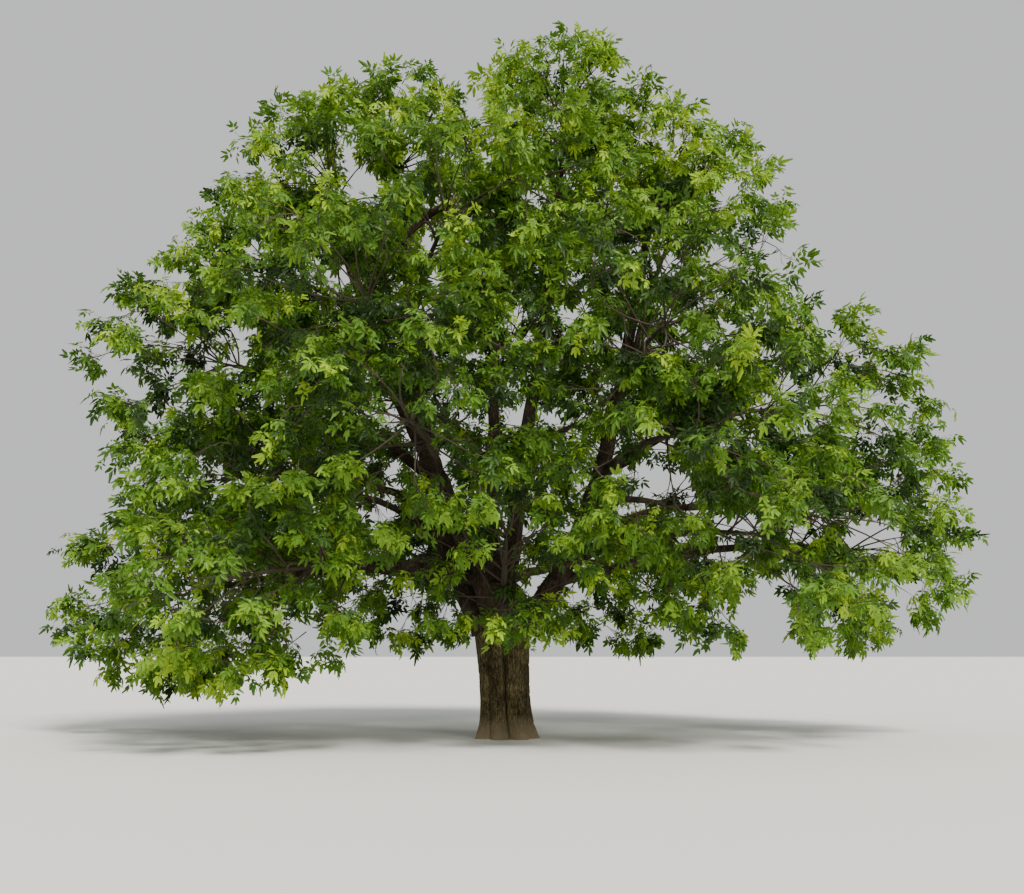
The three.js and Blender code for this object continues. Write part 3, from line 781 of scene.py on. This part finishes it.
def edge_distances(mass, ways):
    """How far a mass's own space goes from its middle along each heading."""
    step = 0.04
    distances = np.arange(step, mass.radius + step, step)
    inside = owns(mass, mass.centre + ways[:, None] * distances[:, None], 0)
    return np.where(inside.all(1), mass.radius, np.argmin(inside, axis=1) * step)


def bend_through(starts, controls, ends, shares):
    """Points at shares of many curves at once: (1-t)^2 a + 2 t (1-t) b + t^2 c."""
    t = np.asarray(shares)[None, :, None]
    return (1 - t) ** 2 * starts[:, None] + 2 * t * (1 - t) * controls[:, None] + t ** 2 * ends[:, None]


def main_twigs(mass):
    """The twigs of the solids' rule, from the stem at the branching angle to a point of each heading. It
    draws four numbers for each, and only the last one, how far out the twig ends, is needed here."""
    random = random_from(mass.seed)
    ways = even_headings(FOLIAGE.headings, random() * 2 * math.pi)
    draws = np.array([[random() for _ in range(4)] for _ in ways])
    edges = edge_distances(mass, ways)
    tips = mass.centre + ways * (edges * (FOLIAGE.shell + FOLIAGE.shell_stray * draws[:, 3]))[:, None]
    start, end = mass.stem.controls[0], mass.stem.controls[-1]
    length = np.linalg.norm(end - start)
    heading = (end - start) / length
    beside = (tips - start) @ heading
    apart = np.linalg.norm(tips - (start + beside[:, None] * heading), axis=1)
    lowest, highest = FOLIAGE.roots_between
    shares = np.clip((beside - apart / math.tan(math.radians(FOLIAGE.branching))) / length, lowest, highest)
    roots = mass.stem.at(shares)
    bends = (roots + tips) / 2 + UP * FOLIAGE.arch * np.linalg.norm(tips - roots, axis=1)[:, None]
    path = bend_through(roots, bends, tips, FOLIAGE.tested_at)
    room = FOLIAGE.twig_radius
    fits = owns(mass, path, room).all(1) & clear_of_wood(path, room).all(1)
    return roots[fits], bends[fits], tips[fits]


# The photograph's view: from eye height 24 m in front, a little to the right, tilted up to take in the crown.
CAMERA_PLACE = (0.1, -24, 1.6)
CAMERA_TILT = 9.36
CAMERA_LENS = 43.72

# Patches of sky that the photograph shows through the crown, as they stand in the upright plane through the
# trunk: across, height, half width and half height. Nothing leafy hides them from the photograph's place.
SKY_PATCHES = [
    (5.0, 2.1, 0.5, 1.0),
    (6.9, 3.9, 0.45, 0.4),
    (7.5, 2.7, 0.25, 0.45),
    (3.05, 4.9, 0.45, 0.3),
    (-2.9, 11.0, 0.5, 0.4),
    (-5.3, 7.9, 0.3, 0.3),
    (4.3, 10.7, 0.3, 0.2),
    (-0.7, 12.7, 0.3, 0.4),
    (-6.6, 9.1, 0.4, 0.2),
    (5.4, 9.6, 0.3, 0.4),
    (-1.2, 2.5, 0.2, 0.2),
]

# Thin stretches of the crown, in the same plane and numbers, each with how many specks of sky show in it.
THIN_STRETCHES = [
    (-2.0, 5.5, 1.5, 1.5, 8),
    (-3.2, 11.4, 0.8, 0.7, 4),
    (-0.7, 10.6, 1.8, 1.8, 6),
    (4.6, 3.6, 1.4, 0.8, 8),
    (1.0, 5.1, 1.6, 1.4, 4),
    (2.9, 4.9, 1.0, 0.8, 4),
]
SPECK = SimpleNamespace(radius=0.21, stray=0.3, seed=31)

# How far outside the solids' box twigs and leaves may end, how far beyond its mass's ball a leaf may, and how
# high above the ground leaves stay.
BOX_ROOM = 0.22
BALL_ROOM = 0.2
GROUND_ROOM = 0.35

# Clumps of leaves stand on two shells in each mass, given by the share of the way to the mass's edge and by
# how many there would be in a mass of radius 1. A clump strays inwards by a share of the way, and stands back
# by a share of its own reach. The rooms are what its middle keeps to the mass's edge and to wood.
CLUMP = SimpleNamespace(
    shells=[(0.97, 7.5), (0.68, 2.0)], stray=0.12, heading_stray=0.1, reach=0.4, set_back=0.45,
    least_out=0.2, edge_room=0.02, wood_room=0.1,
)

# A clump's twig leaves one of the posts along the main twigs and the stem: the nearest, with its distance
# taken detour - cosine times, which favours a post that heads the clump's way. It first goes forward and
# lifts by shares of its length.
POST = SimpleNamespace(
    count=8, first=0.15, on_stem=6, first_on_stem=0.3, detour=1.7, forward=0.4, lift=0.12,
)

# A clump's fine twigs leave the last half of its twig and end between nearest and 1 of its reach from its
# middle, in a flattened ball moved outwards. Crooks bend twigs at random, by shares of their length.
FINE = SimpleNamespace(
    count=7, first=0.55, nearest=0.45, flattened=(1, 1, 0.75), outwards=0.35, forward=0.4, lift=0.1,
    main_crook=0.12, crook=0.18, edge_room=-0.1, wood_room=0.08,
)

# How each kind of twig is drawn: radius at its root and its tip, sides round it and steps along it. A stem's
# root is as thick as the tip of the limb before it.
STEM = dict(tip_radius=0.03, sides=8, steps=8)
MAIN_TWIG = dict(radius=0.0208, tip_radius=0.00624, sides=5, steps=5)
CLUMP_TWIG = dict(radius=0.013, tip_radius=0.0052, sides=3, steps=3)
FINE_TWIG = dict(radius=0.006, tip_radius=0.0024, sides=3, steps=2)

# The leaves of a fine twig: how many, where on it they start, and their least and greatest length, scaled by
# share for the right, back, left and front. They lean out from the twig, most at its foot, and sag, and their
# faces turn upwards and outwards.
LEAF = SimpleNamespace(
    count=5, first=0.45, length=(0.172, 0.272), share=(1.03, 1.07, 1.07, 0.9), lean=(1.26, 0.42),
    sag=(0.2, 0.8), face_up=0.9, face_out=0.5, face_stray=0.55,
)

# A clump's place in TINTS is painted shade: darker deep in its mass, and at the crown's middle height,
# where the shade is deepest. base holds at depth, a share of the way out of the mass, and height, a share of
# the crown's.
TINT = SimpleNamespace(
    base=3.2, depth=0.75, by_depth=4.5, height=0.42, by_height=2.2, clump_stray=0.4, twig_stray=0.8,
)


def lay_out_openings():
    """The patches of sky, and the specks strewn over each thin stretch: middle and half sizes of each."""
    openings = [np.array(patch) for patch in SKY_PATCHES]
    rng = np.random.default_rng(SPECK.seed)
    for x, z, half_width, half_height, count in THIN_STRETCHES:
        for _ in range(count):
            turn = rng.random() * 2 * math.pi
            out = math.sqrt(rng.random())
            half = SPECK.radius * (1 + SPECK.stray * (2 * rng.random(2) - 1))
            openings.append(np.array([
                x + half_width * out * math.cos(turn), z + half_height * out * math.sin(turn), *half,
            ]))
    return openings


OPENINGS = lay_out_openings()


def open_to_sky(points):
    """Whether points would hide an opening from the photograph's place."""
    spread = -CAMERA_PLACE[1] / (points[:, 1] - CAMERA_PLACE[1])
    across = CAMERA_PLACE[0] + (points[:, 0] - CAMERA_PLACE[0]) * spread
    height = CAMERA_PLACE[2] + (points[:, 2] - CAMERA_PLACE[2]) * spread
    left_out = np.zeros(len(points), bool)
    for x, z, half_width, half_height in OPENINGS:
        left_out |= ((across - x) / half_width) ** 2 + ((height - z) / half_height) ** 2 < 1
    return left_out


def clump_places(mass, rng):
    """The middles of a mass's clumps, spread over its shells, and the share of the way out of each."""
    places, depths = [], []
    for share, density in CLUMP.shells:
        count = round(density * mass.radius ** 2 * around_compass(mass.tier.fullness, mass.bearing))
        turned = rng.random() * 2 * math.pi
        ways = unit(even_headings(count, turned) + rng.normal(0, CLUMP.heading_stray, (count, 3)))
        out = edge_distances(mass, ways) * (share - CLUMP.stray * rng.random(count))
        out = np.maximum(out - CLUMP.reach * CLUMP.set_back, CLUMP.least_out)
        places.append(mass.centre + ways * out[:, None])
        depths.append(np.full(count, share))
    places = np.concatenate(places)
    fits = owns(mass, places, CLUMP.edge_room) & clear_of_wood(places, CLUMP.wood_room) & ~open_to_sky(places)
    return places[fits], np.concatenate(depths)[fits]


def clump_twigs(mass, roots, bends, tips, places):
    """A twig to each clump, from the post that suits it best: where it starts, and the control point of its
    bend."""
    posts = bend_through(roots, bends, tips, np.linspace(POST.first, 1, POST.count))
    heads = unit(np.gradient(posts, axis=1)).reshape(-1, 3)
    stem_posts = mass.stem.at(np.linspace(POST.first_on_stem, 1, POST.on_stem))
    posts = np.concatenate([posts.reshape(-1, 3), stem_posts])
    heads = np.concatenate([heads, unit(np.gradient(stem_posts, axis=0))])
    spans = places[:, None] - posts[None]
    lengths = np.linalg.norm(spans, axis=-1)
    forward = (spans * heads[None]).sum(-1) / lengths
    best = np.argmin(lengths * (POST.detour - forward), axis=1)
    starts = posts[best]
    reach = np.linalg.norm(places - starts, axis=1)
    controls = starts + heads[best] * (POST.forward * reach)[:, None] + UP * (POST.lift * reach)[:, None]
    return starts, controls


def in_box(points):
    """Whether points are inside the solids' box or its room."""
    low, high = np.array(cad_box)
    return ((points > low - BOX_ROOM) & (points < high + BOX_ROOM)).all(1)


def fine_twigs(mass, starts, controls, places, rng):
    """Fine twigs from the last half of each clump's twig to random places in the clump, and their clumps."""
    clumps = np.repeat(np.arange(len(places)), FINE.count)
    count = len(clumps)
    away = unit(rng.normal(0, 1, (count, 3))) * rng.uniform(FINE.nearest, 1, (count, 1))
    outward = unit(places - mass.centre)[clumps]
    ends = places[clumps] + CLUMP.reach * (away * FINE.flattened + outward * FINE.outwards)
    roots = bend_through(starts, controls, places, np.linspace(FINE.first, 1, FINE.count)).reshape(-1, 3)
    ahead = unit(places - controls)[clumps]
    reach = np.linalg.norm(ends - roots, axis=1)[:, None]
    bends = roots + ahead * (FINE.forward * reach) + UP * (FINE.lift * reach)
    bends = bends + rng.normal(0, FINE.crook, bends.shape) * reach
    fits = owns(mass, ends, FINE.edge_room) & clear_of_wood(ends, FINE.wood_room)
    fits &= in_box(ends) & ~open_to_sky(ends)
    return roots[fits], bends[fits], ends[fits], clumps[fits]


def many_tubes(starts, controls, ends, radius, tip_radius, sides, steps):
    """Tapering twigs along many curves at once, as points and triangles: at all but the last of the even
    shares t a ring of radius + (tip_radius - radius) * t, a flat root and a pointed tip."""
    shares = np.linspace(0, 1, steps + 1)
    path = bend_through(starts, controls, ends, shares)
    side, up = square_to(unit(ends - starts))
    angle = np.arange(sides) * 2 * math.pi / sides
    ring = np.cos(angle)[None, :, None] * side[:, None] + np.sin(angle)[None, :, None] * up[:, None]
    radii = radius + (tip_radius - radius) * shares[:-1]
    rings = path[:, :-1, None] + radii[None, :, None, None] * ring[:, None]
    points = np.concatenate([rings.reshape(len(starts), -1, 3), path[:, -1:]], axis=1)
    tip = ring_fan(steps - 1, sides, steps * sides)
    root = np.array([(0, k + 1, k) for k in range(1, sides - 1)])
    one = np.concatenate([tube_walls(steps, sides), tip, root])
    shift = np.arange(len(starts))[:, None, None] * points.shape[1]
    return points.reshape(-1, 3), (one[None] + shift).reshape(-1, 3)


# A compound leaf of length 1: each leaflet's place along the stalk, its length and its turn in degrees. A
# leaflet's outline runs round it as shares of its length, half width and fold along the midrib.
LEAFLETS = np.array([
    (0.42, 0.48, 82), (0.42, 0.48, -82), (0.62, 0.58, 44), (0.62, 0.58, -44), (0.7, 0.62, 0),
])
OUTLINE = np.array([(0, 0, 0), (0.4, 1, 0.3), (0.93, 0.42, 0.05), (0.93, -0.42, 0.05), (0.4, -1, 0.3)])
HALF_WIDTH = 0.215
STALK_LENGTH = 0.7
STALK_WIDTH = 0.02

# How leaves differ: leaflets stray in place and turn, are scaled in length and hang, and the whole leaf
# droops.
VARIETY = SimpleNamespace(place=0.03, turn=11, length=(0.8, 1.15), hang=(0.15, 0.75), droop=(0.1, 0.45))


def leaf_triangles():
    """Three triangles for each leaflet, fanned out from its foot, and one for the stalk."""
    fan = np.array([(0, 2, 1), (0, 3, 2), (0, 4, 3)])
    blades = [fan + len(OUTLINE) * i for i in range(len(LEAFLETS))]
    stalk = np.array([(0, 1, 2)]) + len(OUTLINE) * len(LEAFLETS)
    return np.concatenate([*blades, stalk])


LEAF_TRIANGLES = leaf_triangles()


def grow_leaves(mass, roots, bends, ends, rng):
    """Where each leaf sits and how it lies: origin, way along it, way its face looks, size and twig."""
    origins = bend_through(roots, bends, ends, np.linspace(LEAF.first, 1, LEAF.count))
    ahead = unit(np.gradient(origins, axis=1))
    side, up = square_to(ahead)
    turn = np.arange(LEAF.count)[None] * GOLDEN_ANGLE + rng.random((len(roots), 1)) * 2 * math.pi
    radial = np.cos(turn)[..., None] * side + np.sin(turn)[..., None] * up
    lean = np.linspace(*LEAF.lean, LEAF.count)[None, :, None]
    sag = rng.uniform(*LEAF.sag, (*turn.shape, 1))
    along = unit(ahead + radial * lean - UP * sag)
    face = UP * LEAF.face_up + radial * LEAF.face_out + rng.normal(0, LEAF.face_stray, origins.shape)
    face = unit(face - along * (face * along).sum(-1, keepdims=True))
    sizes = around_compass(LEAF.share, mass.bearing) * rng.uniform(*LEAF.length, turn.shape)
    twigs = np.repeat(np.arange(len(roots)), LEAF.count)
    return origins.reshape(-1, 3), along.reshape(-1, 3), face.reshape(-1, 3), sizes.ravel(), twigs


def leaf_mesh(origins, along, face, sizes, rng):
    """Every leaf's points: origin + size * (x along + y across + z face). A leaflet's x and y are its outline
    turned by its own stray angle; z falls by droop*x*x along the leaf and by hang*u*u along the leaflet."""
    count = len(origins)
    shape = (count, len(LEAFLETS), 1)
    place, length, turn = (LEAFLETS[None, :, i, None] for i in range(3))
    place = place + rng.normal(0, VARIETY.place, shape)
    length = length * rng.uniform(*VARIETY.length, shape)
    turn = np.radians(turn + rng.normal(0, VARIETY.turn, shape))
    hang = rng.uniform(*VARIETY.hang, shape)
    droop = rng.uniform(*VARIETY.droop, (count, 1))
    u = OUTLINE[:, 0] * length
    v = OUTLINE[:, 1] * HALF_WIDTH * length
    x = place + u * np.cos(turn) - v * np.sin(turn)
    y = u * np.sin(turn) + v * np.cos(turn)
    z = OUTLINE[:, 2] * HALF_WIDTH * length - hang * u ** 2
    ones = np.ones((count, 1))
    x = np.concatenate([x.reshape(count, -1), ones * (0, 0, STALK_LENGTH)], 1)
    y = np.concatenate([y.reshape(count, -1), ones * (STALK_WIDTH, -STALK_WIDTH, 0)], 1)
    z = np.concatenate([z.reshape(count, -1), ones * (0, 0, 0)], 1) - droop * x ** 2
    across = np.cross(face, along)
    points = origins[:, None] + sizes[:, None, None] * (
        x[..., None] * along[:, None] + y[..., None] * across[:, None] + z[..., None] * face[:, None]
    )
    shift = np.arange(count)[:, None, None] * x.shape[1]
    return points.reshape(-1, 3), (LEAF_TRIANGLES[None] + shift).reshape(-1, 3)


def clump_tints(places, depths, rng):
    """Each clump's place in TINTS, painted light and shade with a random stray in tone: base, less by_depth
    times how much further out than depth it is, less by_height times how far its height is from height, and
    a stray."""
    rise = np.clip(places[:, 2] / cad_box[1][2], 0, 1)
    painted_light = TINT.by_depth * (depths - TINT.depth) + TINT.by_height * np.abs(rise - TINT.height)
    return TINT.base - painted_light + rng.normal(0, TINT.clump_stray, len(places))


def inside_reach(mass, origins, along, sizes):
    """Whether each leaf's tip keeps to the reach of its mass and of the solids' box."""
    tips = origins + along * sizes[:, None]
    in_ball = power(mass, tips) < (mass.radius + BALL_ROOM) ** 2 - mass.radius ** 2
    return in_ball & in_box(tips) & (tips[:, 2] > GROUND_ROOM)


def joined(parts):
    """Several meshes' points and triangles as one."""
    points = np.concatenate([part[0] for part in parts])
    starts = np.cumsum([0] + [len(part[0]) for part in parts[:-1]])
    triangles = np.concatenate([part[1] + start for part, start in zip(parts, starts)])
    return points, triangles


def grow_mass(mass):
    """A mass's twigs, its leaves, and the tint of each triangle of the leaves."""
    rng = np.random.default_rng(mass.seed)
    roots, bends, tips = main_twigs(mass)
    lengths = np.linalg.norm(tips - roots, axis=1)[:, None]
    bends = bends + rng.normal(0, FINE.main_crook, bends.shape) * lengths
    shown = ~open_to_sky(tips)
    roots, bends, tips = roots[shown], bends[shown], tips[shown]
    places, depths = clump_places(mass, rng)
    starts, controls = clump_twigs(mass, roots, bends, tips, places)
    fine_roots, fine_bends, fine_ends, clumps = fine_twigs(mass, starts, controls, places, rng)
    wood = [
        many_tubes(*mass.stem.controls[:, None], mass.stem_radius, **STEM),
        many_tubes(roots, bends, tips, **MAIN_TWIG),
        many_tubes(starts, controls, places, **CLUMP_TWIG),
        many_tubes(fine_roots, fine_bends, fine_ends, **FINE_TWIG),
    ]
    origins, along, face, sizes, twigs = grow_leaves(mass, fine_roots, fine_bends, fine_ends, rng)
    kept = inside_reach(mass, origins, along, sizes) & ~open_to_sky(origins)
    leaves = leaf_mesh(origins[kept], along[kept], face[kept], sizes[kept], rng)
    # Each leaf's tint: its clump's painted light and shade, with random strays in tone by clump and by twig.
    shades = clump_tints(places, depths, rng)[clumps] + rng.normal(0, TINT.twig_stray, len(clumps))
    tints = np.clip(np.round(shades), 0, len(TINTS) - 1).astype(int)[twigs[kept]]
    return joined(wood), leaves, np.repeat(tints, len(LEAF_TRIANGLES))


def grow_tier(tier):
    """All twigs of one tier as one piece, and all its leaves as another."""
    carried = [mass for mass in masses if mass.tier is tier]
    wood, leaves, tints = zip(*[grow_mass(mass) for mass in carried])
    nodes = [f"foliage_{mass.name}" for mass in carried]
    dress(add_piece(f"twigs_{tier.name}", *joined(wood), [TWIG_BARK]), "limb_bark", *nodes)
    dress(add_piece(f"leaves_{tier.name}", *joined(leaves), TINTS, np.concatenate(tints)), "leaves", *nodes)


for tier in TIERS:
    grow_tier(tier)


# Soft daylight: a pale world all round, and a broad warm sun high up in front, a little to the right. Its
# width, its angle from overhead and its turn are in degrees.
WORLD = SimpleNamespace(colour="#f3f4f4", strength=0.78)
SUN = SimpleNamespace(strength=5.8, width=18, colour=(1.0, 0.97, 0.9), from_overhead=42, turn=22)
FLOOR_HALF_WIDTH = 400
FARTHEST_SEEN = 2000


def make_camera():
    """The photograph's view, looking along +Y."""
    data = bpy.data.cameras.new("camera")
    data.sensor_width = 36
    data.lens = CAMERA_LENS
    data.clip_end = FARTHEST_SEEN
    camera = add_object("camera", data)
    camera.location = CAMERA_PLACE
    camera.rotation_euler = (math.radians(90 + CAMERA_TILT), 0, 0)
    bpy.context.scene.camera = camera


def make_floor():
    """A plain pale square that goes past the view on all sides."""
    corners = FLOOR_HALF_WIDTH * np.array([(-1.0, -1, 0), (1, -1, 0), (1, 1, 0), (-1, 1, 0)])
    triangles = np.array([(0, 1, 2), (0, 2, 3)])
    floor = add_piece("floor", corners, triangles, [plain_material("pale_floor", "#d9d8d4", roughness=0.9)])


def make_light():
    """The world and the sun."""
    world = bpy.data.worlds.new("studio")
    world.use_nodes = True
    background = world.node_tree.nodes["Background"]
    background.inputs["Color"].default_value = srgb(WORLD.colour)
    background.inputs["Strength"].default_value = WORLD.strength
    bpy.context.scene.world = world
    data = bpy.data.lights.new("soft_sun", "SUN")
    data.energy = SUN.strength
    data.angle = math.radians(SUN.width)
    data.color = SUN.colour
    sun = add_object("soft_sun", data)
    sun.rotation_euler = (math.radians(SUN.from_overhead), 0, math.radians(SUN.turn))


make_camera()
make_floor()
make_light()
